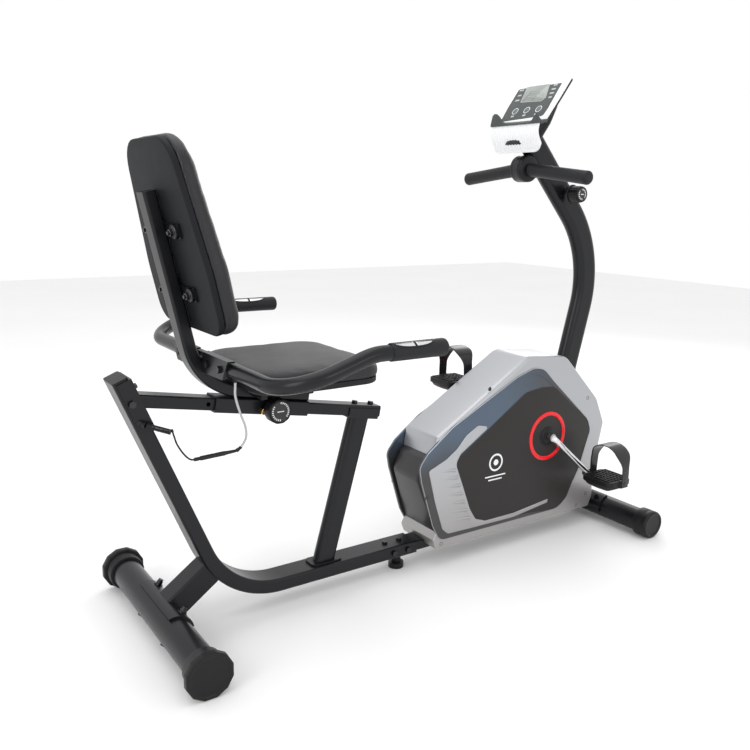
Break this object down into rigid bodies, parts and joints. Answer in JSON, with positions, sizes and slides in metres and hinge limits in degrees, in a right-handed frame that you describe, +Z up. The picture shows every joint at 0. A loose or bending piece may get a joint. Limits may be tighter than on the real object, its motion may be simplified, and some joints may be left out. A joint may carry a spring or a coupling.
{
  "type": "recumbent exercise bike",
  "caption": "Recumbent magnetic exercise bike: bucket-style seat and backrest on a sloping rail, side grips, enclosed flywheel drive with cranks and strapped pedals, and a console post.",
  "frame": {"origin": "middle of the bike's footprint on the floor", "axes": "+X forward from the seat to the pedals, +Y to the rider's left, +Z up"},
  "size_m": [1.3525, 0.688, 1.1387],
  "materials": {
    "frame_paint": "satin black powder coat",
    "black_plastic": "moulded black, fine grain",
    "strap_rubber": "soft black strap",
    "grip_foam": "closed-cell foam",
    "black_leather": "black leatherette with fine grain",
    "shroud_silver": "silver painted moulding",
    "panel_dark": "dark grey moulding",
    "ring_red": "glossy red ring",
    "console_white": "white moulding",
    "display_lens": "dark display window",
    "button_grey": "light grey buttons",
    "board_green": "green circuit board",
    "steel": "zinc-plated steel",
    "flywheel_iron": "machined cast iron",
    "chrome": "polished chrome",
    "lead_grey": "grey sheathed lead"
  },
  "bodies": {
    "frame": {"main_tube": "frame_paint", "upright_cap": "black_plastic", "rear_neck": "frame_paint", "rear_stabiliser": "frame_paint", "seat_post": "frame_paint", "seat_rail": "frame_paint", "rail_bracket": "frame_paint", "rail_end_cap": "black_plastic", "frame_bolts": "steel", "front_frame": "frame_paint", "front_stabiliser": "frame_paint", "front_caps": "black_plastic", "bearings": "steel", "shroud_right": "shroud_silver", "shroud_left": "shroud_silver", "side_panels": "panel_dark", "hub_rings": "ring_red", "shroud_screws": "steel", "console_post": "frame_paint", "handlebar": "frame_paint", "handlebar_grips": "grip_foam", "handlebar_clamp": "black_plastic", "console_back": "black_plastic", "console_front": "console_white", "console_lens": "display_lens", "circuit_board": "board_green", "flywheel_axle": "steel", "drive_belt": "strap_rubber", "coil_cord": "strap_rubber", "lead_cord": "lead_grey", "cord_plugs": "black_plastic"},
    "seat_carriage": {"seat_sleeve": "frame_paint", "back_post": "frame_paint", "handle_bracket": "frame_paint", "seat_handlebar": "frame_paint", "seat_grips": "grip_foam", "pulse_sensors": "chrome", "seat_pan": "black_plastic", "seat_cushion": "black_leather", "back_board": "black_plastic", "back_cushion": "black_leather"},
    "lock_plunger": {"lock_pin": "steel"},
    "lock_handle": {"lock_knob": "black_plastic"},
    "crankset": {"crank_axle": "steel", "drive_pulley": "black_plastic", "left_crank": "chrome", "right_crank": "chrome"},
    "right_pedal_body": {"right_pedal": "black_plastic", "right_strap": "strap_rubber"},
    "left_pedal_body": {"left_pedal": "black_plastic", "left_strap": "strap_rubber"},
    "flywheel_body": {"flywheel": "flywheel_iron"},
    "magnet_arm": {"magnet_bracket": "steel"},
    "tension_dial": {"tension_knob": "black_plastic"},
    "mode_key": {"mode_button": "button_grey"},
    "set_key": {"set_button": "button_grey"},
    "reset_key": {"reset_button": "button_grey"},
    "left_cap": {"left_rear_cap": "black_plastic"},
    "right_cap": {"right_rear_cap": "black_plastic"},
    "screw_foot": {"centre_foot": "black_plastic"}
  },
  "joints": [
    {"name": "seat_slide", "type": "slide", "parent": "frame", "child": "seat_carriage", "axis": [0.9857, 0, -0.1685], "range_m": [-0.081, 0.081], "deforming": ["lead_cord"]},
    {"name": "lock_pull", "type": "slide", "parent": "seat_carriage", "child": "lock_plunger", "axis": [0, -1, 0], "range_m": [0, 0.012], "stiffness_N_per_m": 600},
    {"name": "lock_turn", "type": "hinge", "parent": "lock_plunger", "child": "lock_handle", "pos_m": [-0.36115, -0.053, 0.44023], "axis": [0, 1, 0], "range_deg": [-180, 180]},
    {"name": "crank_spin", "type": "hinge", "parent": "frame", "child": "crankset", "pos_m": [0.39026, 0, 0.276], "axis": [0, 1, 0], "continuous": true},
    {"name": "right_pedal_spin", "type": "hinge", "parent": "crankset", "child": "right_pedal_body", "pos_m": [0.52258, -0.156, 0.163], "axis": [0, 1, 0], "continuous": true},
    {"name": "left_pedal_spin", "type": "hinge", "parent": "crankset", "child": "left_pedal_body", "pos_m": [0.25795, 0.156, 0.389], "axis": [0, 1, 0], "continuous": true},
    {"name": "flywheel_spin", "type": "hinge", "parent": "frame", "child": "flywheel_body", "pos_m": [0.15526, 0, 0.205], "axis": [0, 1, 0], "continuous": true},
    {"name": "tension_turn", "type": "hinge", "parent": "frame", "child": "tension_dial", "pos_m": [0.44911, -0.05, 0.87313], "axis": [0, 1, 0], "range_deg": [0, 300]},
    {"name": "magnet_swing", "type": "hinge", "parent": "frame", "child": "magnet_arm", "pos_m": [0.19526, 0, 0.345], "axis": [0, 1, 0], "range_deg": [0, 4]},
    {"name": "mode_press", "type": "slide", "parent": "frame", "child": "mode_key", "axis": [0.809, 0, -0.5878], "range_m": [0, 0.0015], "stiffness_N_per_m": 400},
    {"name": "set_press", "type": "slide", "parent": "frame", "child": "set_key", "axis": [0.809, 0, -0.5878], "range_m": [0, 0.0015], "stiffness_N_per_m": 400},
    {"name": "reset_press", "type": "slide", "parent": "frame", "child": "reset_key", "axis": [0.809, 0, -0.5878], "range_m": [0, 0.0015], "stiffness_N_per_m": 400},
    {"name": "left_cap_turn", "type": "hinge", "parent": "frame", "child": "left_cap", "pos_m": [-0.59674, 0.23, 0.044], "axis": [0, 1, 0], "continuous": true},
    {"name": "right_cap_turn", "type": "hinge", "parent": "frame", "child": "right_cap", "pos_m": [-0.59674, -0.23, 0.044], "axis": [0, 1, 0], "continuous": true},
    {"name": "foot_turn", "type": "hinge", "parent": "frame", "child": "screw_foot", "pos_m": [-0.02474, 0, 0.02], "axis": [0, 0, 1], "continuous": true}
  ],
  "couplings": [
    {"joint": "flywheel_spin", "follows": "crank_spin", "ratio": 6.7778},
    {"joint": "magnet_swing", "follows": "tension_turn", "ratio": 0.013333}
  ]
}
